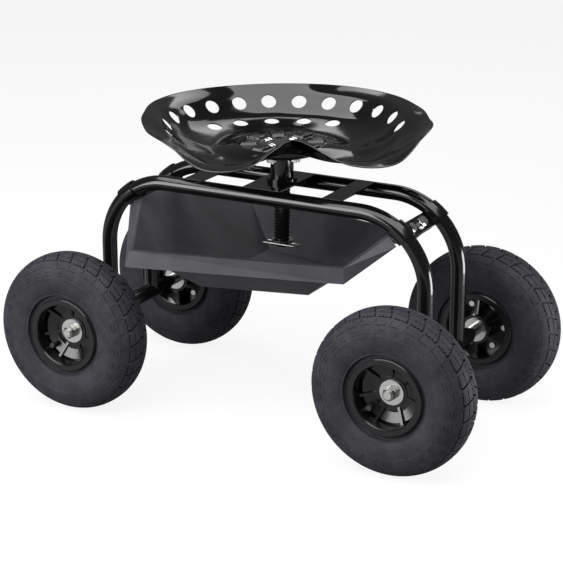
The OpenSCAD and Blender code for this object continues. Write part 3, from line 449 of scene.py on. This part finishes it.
def panSurface():
    around = pan["around"]
    rim = 4.965
    flat = pan["flatShare"] * pan["width"] / 2
    rings = []
    reach = 1.5
    while reach < flat - 0.4:  # the flat centre with its pads
        ring = []
        for k in range(around):
            a = 2 * math.pi * k / around
            x, y = reach * math.sin(a), -reach * math.cos(a)
            ring.append(Vector((x, y, pan["floor"] + padHeight(x, y))))
        rings.append(ring)
        reach += 1.45
    places = [0.0]
    for zone, count in enumerate(pan["steps"]):
        places += [zone + (k + 1) / count * (1 if zone < 4 else rim - 4) for k in range(count)]
    for place in places:
        rings.append([panPoint(360 * k / around, place) for k in range(around)])
    return rings


def buildPan():
    rings = panSurface()
    around = pan["around"]
    count = len(rings)
    normals = []
    for i, ring in enumerate(rings):
        row = []
        inner, outer = rings[max(i - 1, 0)], rings[min(i + 1, count - 1)]
        for k in range(around):
            across = outer[k] - inner[k]
            along = ring[(k + 1) % around] - ring[k - 1]
            n = across.cross(along)
            n.normalize()
            row.append(n if n.z > 0 else -n)
        normals.append(row)
    half = pan["sheet"] / 2
    points, loops = [], []

    def addLoop(ring):
        loops.append(list(range(len(points), len(points) + around)))
        points.extend(ring)

    for i in range(count):
        addLoop(rings[i])
    for tilt in (60, 30, 0, -30, -60):  # the rounded edge of the sheet
        edge = []
        for k in range(around):
            out = rings[-1][k] - rings[-2][k]
            out.normalize()
            mid = rings[-1][k] - normals[-1][k] * half
            t = math.radians(tilt)
            edge.append(mid + out * half * math.cos(t) + normals[-1][k] * half * math.sin(t))
        addLoop(edge)
    for i in reversed(range(count)):
        addLoop([p - n * 2 * half for p, n in zip(rings[i], normals[i])])
    faces = []
    for a, b in zip(loops, loops[1:]):
        for k in range(around):
            m = (k + 1) % around
            faces.append((a[k], a[m], b[m], b[k]))
    top, under = len(points), len(points) + 1
    points.append(Vector((0, 0, pan["floor"])))
    points.append(Vector((0, 0, pan["floor"] - pan["sheet"])))
    for k in range(around):
        m = (k + 1) % around
        faces.append((loops[0][m], loops[0][k], top))
        faces.append((loops[-1][k], loops[-1][m], under))
    turn = Matrix.Rotation(math.radians(pan["turn"]), 4, "Z")
    move = Matrix.Translation((pan["centre"][0], pan["centre"][1], 0))
    place = Matrix.Scale(0.001, 4) @ move @ turn
    piece = newPiece("pressedSeatPan", [place @ p for p in points], faces, seatGloss, 40)

    # every hole is a cylinder square to the sheet
    cutPoints, cutFaces = [], []

    def addCutter(centre, direction, diameter, depth):
        side = direction.orthogonal().normalized()
        up = direction.cross(side)
        first = len(cutPoints)
        sides = 72
        for end in (-1, 1):
            for k in range(sides):
                a = 2 * math.pi * k / sides
                cutPoints.append(place @ (centre + direction * depth * end
                                          + (side * math.cos(a) + up * math.sin(a)) * diameter / 2))
        for k in range(sides):
            m = (k + 1) % sides
            cutFaces.append((first + k, first + m, first + sides + m, first + sides + k))
        cutFaces.append(tuple(range(first + sides - 1, first - 1, -1)))
        cutFaces.append(tuple(range(first + sides, first + 2 * sides)))

    def panNormal(angle, at):
        out = panPoint(angle, at + 0.02) - panPoint(angle, at - 0.02)
        n = out.cross(panPoint(angle + 1, at) - panPoint(angle - 1, at)).normalized()
        return n if n.z > 0 else -n

    middle = (pan["upperHoles"] - 1) / 2
    spots = [(180 + (k - middle) * pan["upperPitch"], 3) for k in range(pan["upperHoles"])]
    spots += [(180 + t, s) for t, s in zip(pan["lowerTurns"], pan["lowerPlaces"])]
    for angle, at in spots:
        addCutter(panPoint(angle, at), panNormal(angle, at), pan["holeDiameter"], 12)
    for k in range(4):
        a = math.radians(pan["boltTurn"] + 90 * k)
        spot = Vector((pan["boltCircle"] * math.cos(a), pan["boltCircle"] * math.sin(a), pan["floor"]))
        addCutter(spot, Vector((0, 0, 1)), pan["boltHole"], 8)
    cutter = newPiece("panCutter", cutPoints, cutFaces, seatGloss)
    holes = piece.modifiers.new("holes", "BOOLEAN")
    holes.operation, holes.solver, holes.object = "DIFFERENCE", "MANIFOLD", cutter
    bakeModifiers(piece)
    bpy.data.objects.remove(cutter)
    tidyNormals(piece, 40)
    settle(piece, "seat", "seat_steel", "seat_pan")
    print("seat pan:", len(piece.data.polygons), "faces")


buildPan()


tyre = {
    "diameter": 254.0, "width": 75.0, "beadSeat": 51.2, "squareness": 2.3,
    "pitches": 30,
    "treadDepth": 3.3,
    "sweep": 0.38,            # shares of a pitch that a groove leans by, shoulder to crown
    "scribe": 0.8,            # depth of the fine lines on the shoulder
    "columns": [0.0, 0.09, 0.14, 0.19, 0.265, 0.28, 0.30, 0.32, 0.335, 0.36, 0.41, 0.5, 0.64, 0.69,
                0.765, 0.78, 0.80, 0.82, 0.835, 0.86, 0.91, 1.0],
    "sideWall": 6.0, "crownWall": 9.0,
    "beadRadius": 51.3, "beadFace": 29.5, "beadInside": 21.0,
    "cavityDrop": 37.6,       # from the middle of the section in to the bead
    "cavitySteps": 24, "cavityOpen": 52,   # degrees past the level at which the cavity starts
    "blockTop": -0.05, "bridgeTop": -0.25, "blockFoot": -4.0,
    "blockEdge": 0.5, "bridgeEdge": 0.25,  # width of the broken edges
    "markTop": 0.7, "markFoot": -0.4, "markEdge": 0.15,
    "edgeRadius": 120,        # radius at which a block's length is measured
}
# Rows of blocks: first and last profile angle, first and last share of a pitch, zigzag of the
# low and high edge in degrees, teeth
treadRows = [
    {"low": 54.4, "high": 69.3, "from": 0.0, "to": 0.91, "lowWave": 1.4, "highWave": 0.0, "teeth": 4},
    {"low": 70.9, "high": 85.4, "from": 0.0, "to": 0.91, "lowWave": 0.0, "highWave": 0.9, "teeth": 3},
]
plain = {"lowWave": 0.0, "highWave": 0.0, "teeth": 0}
bridges = [  # rubber left standing in the long slots
    dict(plain, low=68.8, high=71.3, **{"from": 0.33, "to": 0.40}),
    dict(plain, low=68.8, high=71.3, **{"from": 0.74, "to": 0.91}),
    dict(plain, low=50.4, high=56.2, **{"from": 0.74, "to": 0.91}),
]
crownRow = {"low": 87.2, "high": 92.8, "from": 0.03, "to": 0.90, "lowWave": 0.8, "highWave": 0.8,
            "teeth": 3}
sideMarks = [  # raised dashes round the side: angle, width in degrees, shares of a pitch
    {"at": 12.6, "wide": 0.8, "from": 0.20, "to": 0.70},
    {"at": 19.8, "wide": 0.8, "from": 0.20, "to": 0.70},
]


def tyreSection(angle):
    middle = (tyre["diameter"] / 2 + tyre["beadSeat"]) / 2
    rise = tyre["diameter"] / 2 - middle
    power = 2 / tyre["squareness"]
    c, s = math.cos(math.radians(angle)), math.sin(math.radians(angle))
    return (middle + rise * math.copysign(abs(s) ** power, s),
            tyre["width"] / 2 * math.copysign(abs(c) ** power, c))


# Point on the tyre: profile angle, share of a pitch round the wheel, height over the surface
def tyrePoint(angle, share, lift):
    step = 0.2
    r, z = tyreSection(angle)
    r1, z1 = tyreSection(angle - step)
    r2, z2 = tyreSection(angle + step)
    dr, dz = r2 - r1, z2 - z1
    size = math.hypot(dr, dz)
    r, z = r - dz / size * lift, z + dr / size * lift
    t = share * 2 * math.pi / tyre["pitches"]
    return Vector((r * math.cos(t), r * math.sin(t), z)) / 1000


def windowed(x, low, high, soft):
    return smoothStep((x - low) / soft + 0.5) * smoothStep((high - x) / soft + 0.5)


# The grooves across the tread lean further round the nearer they come to the crown
def grooveSweep(angle):
    a = angle if angle <= 90 else 180 - angle
    return tyre["sweep"] * max(0.0, (a - 53) / 37) ** 1.6


def carcassLift(angle, share):
    a = angle if angle <= 90 else 180 - angle
    place = (share + (0.5 if angle > 90 else 0.0)) % 1
    lift = -tyre["treadDepth"] * smoothStep((a - 51.6) / 1.4)
    lift += 0.9 * math.exp(-((a + 33.5) / 1.1) ** 2)   # ring moulded just outside the rim
    lift += 0.35 * math.exp(-((a - 6.0) / 0.8) ** 2)   # fine ring round the widest part
    lift -= 2.6 * windowed(a, -47, -37, 3.0)           # dip between the side and the rim's flange
    across = windowed(a, 36, 50, 1.0) * windowed(place, 0.78, 0.82, 0.03)
    arc = windowed(a, 30.4, 31.8, 0.8) * windowed(place, 0.14, 0.86, 0.05)
    return lift - tyre["scribe"] * max(across, arc)


def carcassAngles():
    angles = [-48, -45, -42, -39, -37] + [-36 + 0.5 * k for k in range(11)]
    angles += [-29, -26, -22, -18, -13, -8, -3, 1, 4]
    angles += [4.8, 5.4, 6.0, 6.6, 7.2, 8, 11, 15, 19, 23, 27, 29.9, 30.5, 31.1, 31.7, 32.3, 35.4, 36.6]
    angles += [40, 43, 46, 49.4, 50.6, 51.6, 52.0, 52.4, 52.8, 53.4, 57, 61, 65, 69, 73, 77, 81, 85, 88]
    return angles + [90] + [180 - a for a in reversed(angles)]


def buildTyreShare():
    points, faces = [], []
    # carcass: outside over the crown, down the beads and back through the cavity
    angles = carcassAngles()
    bead, face = tyre["beadRadius"], tyre["beadFace"]
    inner = [(bead + 7.5, -face), (bead + 0.6, -face + 0.4), (bead, -face + 1), (bead, -tyre["beadInside"])]
    cavity = []
    middle = (tyre["diameter"] / 2 + tyre["beadSeat"]) / 2
    power = 2 / tyre["squareness"]
    steps, past = tyre["cavitySteps"], tyre["cavityOpen"]
    for k in range(steps + 1):
        a = math.radians(180 + past - k * (180 + 2 * past) / steps)
        s, c = math.sin(a), math.cos(a)
        rise = tyre["cavityDrop"] if s < 0 else tyre["diameter"] / 2 - middle - tyre["crownWall"]
        cavity.append((middle + rise * math.copysign(abs(s) ** power, s),
                       (tyre["width"] / 2 - tyre["sideWall"]) * math.copysign(abs(c) ** power, c)))
    inner += cavity + [(r, -z) for r, z in reversed(inner)]
    columns = []
    for share in tyre["columns"]:
        column = [tyrePoint(a, share, carcassLift(a, share)) for a in angles]
        t = share * 2 * math.pi / tyre["pitches"]
        column += [Vector((r * math.cos(t), r * math.sin(t), z)) / 1000 for r, z in inner]
        columns.append(list(range(len(points), len(points) + len(column))))
        points.extend(column)
    size = len(columns[0])
    for a, b in zip(columns, columns[1:]):
        for i in range(size):
            m = (i + 1) % size
            faces.append((a[i], b[i], b[m], a[m]))

    # a block of rubber over a patch of the surface, with broken edges and side walls
    def addBlock(row, top, base, cellsU, cellsV, edge):
        lowA, highA = row["low"], row["high"]

        def spot(u, v, lift):
            wave = abs((u * row["teeth"]) % 1 - 0.5) * 4 - 1 if row["teeth"] else 0
            angle = lowA + (highA - lowA) * v
            angle += wave * (v * row["highWave"] + (1 - v) * row["lowWave"])
            share = row["from"] + (row["to"] - row["from"]) * u + grooveSweep(angle)
            return tyrePoint(angle, share, lift)

        long = (row["to"] - row["from"]) * 2 * math.pi / tyre["pitches"] * tyre["edgeRadius"]
        tall = (spot(0.5, 1, 0) - spot(0.5, 0, 0)).length * 1000
        eu, ev = edge / long, edge / tall
        first = len(points)
        for j in range(cellsV + 1):
            for i in range(cellsU + 1):
                points.append(spot(eu + (1 - 2 * eu) * i / cellsU, ev + (1 - 2 * ev) * j / cellsV, top))
        for j in range(cellsV):
            for i in range(cellsU):
                a = first + j * (cellsU + 1) + i
                faces.append((a, a + 1, a + cellsU + 2, a + cellsU + 1))
        outline = [(i, 0) for i in range(cellsU)] + [(cellsU, j) for j in range(cellsV)]
        outline += [(cellsU - i, cellsV) for i in range(cellsU)] + [(0, cellsV - j) for j in range(cellsV)]
        ringTop = [first + j * (cellsU + 1) + i for i, j in outline]
        rings = [ringTop]
        for lift in (top - edge * 0.7, base):
            ring = list(range(len(points), len(points) + len(outline)))
            points.extend(spot(i / cellsU, j / cellsV, lift) for i, j in outline)
            rings.append(ring)
        for a, b in zip(rings, rings[1:]):
            for k in range(len(a)):
                m = (k + 1) % len(a)
                faces.append((a[k], b[k], b[m], a[m]))
        faces.append(tuple(rings[-1]))

    foot = tyre["blockFoot"]
    for row in treadRows + bridges:
        isRow = row in treadRows
        top = tyre["blockTop"] if isRow else tyre["bridgeTop"]
        edge = tyre["blockEdge"] if isRow else tyre["bridgeEdge"]
        cells = 16 if isRow else 2
        addBlock(row, top, foot, cells, 4, edge)
        other = dict(row, low=180 - row["low"], high=180 - row["high"])
        other["lowWave"], other["highWave"] = -row["lowWave"], -row["highWave"]
        other["from"], other["to"] = row["from"] + 0.5, row["to"] + 0.5
        addBlock(other, top, foot, cells, 4, edge)
    addBlock(crownRow, tyre["blockTop"], foot, 12, 4, tyre["blockEdge"])
    for mark in sideMarks:
        for flip in (False, True):
            low, high = mark["at"], mark["at"] + mark["wide"]
            row = dict(plain, low=180 - low if flip else low, high=180 - high if flip else high)
            row["from"], row["to"] = mark["from"], mark["to"]
            addBlock(row, tyre["markTop"], tyre["markFoot"], 4, 1, tyre["markEdge"])
    return points, faces


def buildTyres():
    points, faces = buildTyreShare()
    pattern = newPiece("tyreShare", points, faces, tyreFinish, 35)
    repeatRound(pattern, tyre["pitches"], 0.0, tyreFinish)
    tidyNormals(pattern, 35)
    for code in wheelSpots:
        piece = bpy.data.objects.new("tyre_" + code, pattern.data.copy())
        bpy.context.scene.collection.objects.link(piece)
        piece.data.transform(wheelMatrix(code))
        settle(piece, code + "_wheel", "tyre_rubber", code + "_tyre")
    print("tyres:", len(pattern.data.polygons), "faces each")
    bpy.data.objects.remove(pattern)


buildTyres()


lockNut = {  # places along the axle, counted outwards from the wheel's middle plane
    "near": 6.6, "hexEnd": 14.6, "far": 18.6,
    "flats": 19.0, "chamferRadius": 9.6, "chamferRise": 0.9,
    "collarRadius": 8.9, "collarEdge": 0.8, "bore": 6.05, "sides": 96,
}


def buildNuts():
    n = lockNut
    points, faces = [], []
    rings = [  # largest radius and place
        (n["chamferRadius"], n["near"]), (n["flats"], n["near"] + n["chamferRise"]),
        (n["flats"], n["hexEnd"] - n["chamferRise"]), (n["chamferRadius"], n["hexEnd"]),
        (n["collarRadius"], n["hexEnd"]), (n["collarRadius"], n["far"] - n["collarEdge"]),
        (n["collarRadius"] - n["collarEdge"], n["far"]), (n["bore"], n["far"]), (n["bore"], n["near"]),
    ]
    sides = n["sides"]
    for r, z in rings:
        for k in range(sides):
            a = 2 * math.pi * k / sides
            flat = n["flats"] / 2 / math.cos((a + math.pi / 6) % (math.pi / 3) - math.pi / 6)
            reach = min(r, flat)
            points.append(Vector((reach * math.cos(a), reach * math.sin(a), z)) / 1000)
    count = len(rings)
    for i in range(count):
        for k in range(sides):
            m, j = (k + 1) % sides, (i + 1) % count
            faces.append((i * sides + k, i * sides + m, j * sides + m, j * sides + k))
    allPoints, allFaces = [], []
    for code in wheelSpots:
        place = wheelMatrix(code)
        first = len(allPoints)
        allPoints += [place @ p for p in points]
        allFaces += [tuple(first + v for v in face) for face in faces]
    piece = newPiece("axleLockNuts", allPoints, allFaces, dullZinc, 25)
    settle(piece, "frame", "zinc_steel", "axle_nuts")
    print("lock nuts:", len(piece.data.polygons), "faces")


buildNuts()


screw = {
    "centre": (4.0, 18.4), "low": 262.0, "high": 411.0,
    "crest": 12.7, "root": 10.4, "pitch": 5.08,
    "threadLow": 275.0, "threadHigh": 402.0,
    "perTurn": 40, "sides": 64,
    "fadeSteps": 14,                       # steps over which the thread runs out at each end
    "footHalf": 0.33, "crestHalf": 0.19,   # half widths of the ridge, as shares of the pitch
    "sink": 0.3, "endChamfer": 0.8,
}


def buildScrew():
    points, faces = [], []
    cx, cy = screw["centre"]
    sides, chamfer = screw["sides"], screw["endChamfer"]
    profile = [(0, screw["low"]), (screw["root"] - chamfer, screw["low"]),
               (screw["root"], screw["low"] + chamfer),
               (screw["root"], screw["threadHigh"]), (screw["crest"], screw["threadHigh"]),
               (screw["crest"], screw["high"]), (0, screw["high"])]
    for r, z in profile:
        for k in range(sides):
            a = 2 * math.pi * k / sides
            points.append(Vector((cx + r * math.cos(a), cy + r * math.sin(a), z)) / 1000)
    for i in range(len(profile) - 1):
        for k in range(sides):
            m = (k + 1) % sides
            faces.append((i * sides + k, i * sides + m, (i + 1) * sides + m, (i + 1) * sides + k))
    # one ridge of trapezoid section wound up the core
    turns = (screw["threadHigh"] - screw["threadLow"]) / screw["pitch"]
    total = int(turns * screw["perTurn"])
    p = screw["pitch"]
    first = len(points)
    for i in range(total + 1):
        a = 2 * math.pi * i / screw["perTurn"]
        z = screw["threadLow"] + p * i / screw["perTurn"]
        fade = min(1, i / screw["fadeSteps"], (total - i) / screw["fadeSteps"])
        crest = screw["root"] + (screw["crest"] - screw["root"]) * fade
        foot, low, high = screw["root"] - screw["sink"], screw["footHalf"] * p, screw["crestHalf"] * p
        for r, dz in ((foot, -low), (crest, -high), (crest, high), (foot, low)):
            points.append(Vector((cx + r * math.cos(a), cy + r * math.sin(a), z + dz)) / 1000)
    for i in range(total):
        a, b = first + 4 * i, first + 4 * i + 4
        for k in range(4):
            m = (k + 1) % 4
            faces.append((a + k, b + k, b + m, a + m))
    faces.append((first, first + 1, first + 2, first + 3))
    end = first + 4 * total
    faces.append((end + 3, end + 2, end + 1, end))
    piece = newPiece("threadedScrew", points, faces, blackPaint, 30)
    settle(piece, "seat", "black_steel", "adjusting_screw")
    print("screw:", len(piece.data.polygons), "faces")


buildScrew()


def aim(thing, target):
    direction = Vector(target) - thing.location
    thing.rotation_euler = direction.to_track_quat("-Z", "Y").to_euler()


viewpoint = {  # fitted to the outlines of the four wheels
    "lens": 117.5, "sensor": 36, "place": (1.3135, -2.3943, 1.0973), "target": (0.003, 0.0184, 0.2025),
}
camera = bpy.data.objects.new("camera", bpy.data.cameras.new("camera"))
bpy.context.scene.collection.objects.link(camera)
camera.data.lens = viewpoint["lens"]
camera.data.sensor_width = viewpoint["sensor"]
camera.location = viewpoint["place"]
aim(camera, viewpoint["target"])
bpy.context.scene.camera = camera

softboxes = {  # place, target, width and height in metres, radiance
    "overhead": ((-0.15, -1.42, 2.0), (-0.15, -1.42, 0.0), 2.7, 3.6, 4.1),
    "frontLeft": ((-1.15, -2.15, 0.75), (0.0, 0.0, 0.35), 1.4, 1.5, 8.0),
    "behind": ((-0.3, 2.2, 2.2), (0.0, 0.0, 0.45), 1.9, 1.2, 2.2),
    "rightStrip": ((0.95, 0.25, 0.18), (0.3, 0.0, 0.2), 0.4, 0.3, 16.0),
}
for name, (place, target, wide, high, radiance) in softboxes.items():
    lamp = bpy.data.lights.new(name, "AREA")
    lamp.shape, lamp.size, lamp.size_y = "RECTANGLE", wide, high
    lamp.energy = radiance * math.pi * wide * high
    holder = bpy.data.objects.new(name, lamp)
    bpy.context.scene.collection.objects.link(holder)
    holder.location = place
    holder.visible_camera = False
    aim(holder, target)

room = {  # strengths of the surroundings for diffuse and for mirrored light, and the floor's share of white
    "fill": 0.2, "mirror": 0.12, "floorGlow": 0.2, "floorWhite": 0.88, "floorReach": 30,
}
paleWhite = (1, 1, 1, 1)
world = bpy.data.worlds.new("studio")
bpy.context.scene.world = world
world.use_nodes = True
tree = world.node_tree
tree.nodes.clear()
rays = addNode(tree, "ShaderNodeLightPath", at=(-700, 200))
white = addNode(tree, "ShaderNodeBackground", {"Color": paleWhite, "Strength": 1.0}, at=(-300, 200))
fill = addNode(tree, "ShaderNodeBackground", {"Color": paleWhite, "Strength": room["fill"]}, at=(-300, 0))
dim = addNode(tree, "ShaderNodeBackground", {"Color": paleWhite, "Strength": room["mirror"]},
              at=(-300, -200))
soft = addNode(tree, "ShaderNodeMixShader",
               links={0: rays.outputs["Is Glossy Ray"], 1: fill.outputs[0], 2: dim.outputs[0]}, at=(-50, -50))
either = addNode(tree, "ShaderNodeMath", {"operation": "MAXIMUM"},
                 {0: rays.outputs["Is Camera Ray"], 1: rays.outputs["Is Transmission Ray"]}, (-300, 400))
shown = addNode(tree, "ShaderNodeMixShader",
                links={0: either.outputs[0], 1: soft.outputs[0], 2: white.outputs[0]}, at=(150, 100))
addNode(tree, "ShaderNodeOutputWorld", links={"Surface": shown.outputs[0]}, at=(350, 100))

floorMesh = bpy.data.meshes.new("paleFloor")
far = room["floorReach"]
floorMesh.from_pydata([(-far, -far, 0), (far, -far, 0), (far, far, 0), (-far, far, 0)], [], [(0, 1, 2, 3)])
floor = bpy.data.objects.new("paleFloor", floorMesh)
bpy.context.scene.collection.objects.link(floor)
floorFinish, tree = emptyMaterial("palePaintedFloor")
rays = addNode(tree, "ShaderNodeLightPath", at=(-900, 300))
matt = addNode(tree, "ShaderNodeBsdfDiffuse", {"Color": linear("#e9e9e9")}, at=(-500, 0))
grey = addNode(tree, "ShaderNodeBsdfDiffuse", {"Color": linear("#7d7d7d")}, at=(-500, 150))
glow = addNode(tree, "ShaderNodeEmission", {"Color": paleWhite, "Strength": 1.0}, at=(-500, -200))
lit = addNode(tree, "ShaderNodeMixShader", {0: room["floorWhite"]},
              {1: matt.outputs[0], 2: glow.outputs[0]}, (-200, -50))
# metal and paint see the white floor too, dimmed as by a darkened studio
mirrored = addNode(tree, "ShaderNodeMath", {"operation": "MULTIPLY", 1: room["floorGlow"]},
                   {0: rays.outputs["Is Glossy Ray"]}, (-700, 450))
through = addNode(tree, "ShaderNodeMath", {"operation": "MAXIMUM"},
                  {0: rays.outputs["Is Camera Ray"], 1: rays.outputs["Is Transmission Ray"]}, (-700, 600))
whiteShare = addNode(tree, "ShaderNodeMath", {"operation": "MAXIMUM"},
                     {0: mirrored.outputs[0], 1: through.outputs[0]}, (-500, 500))
shown = addNode(tree, "ShaderNodeMixShader",
                links={0: whiteShare.outputs[0], 1: grey.outputs[0], 2: lit.outputs[0]}, at=(0, 100))
addNode(tree, "ShaderNodeOutputMaterial", links={"Surface": shown.outputs[0]}, at=(200, 100))
floorMesh.materials.append(floorFinish)

bpy.context.scene.view_settings.view_transform = "Standard"
print("camera and lights set")
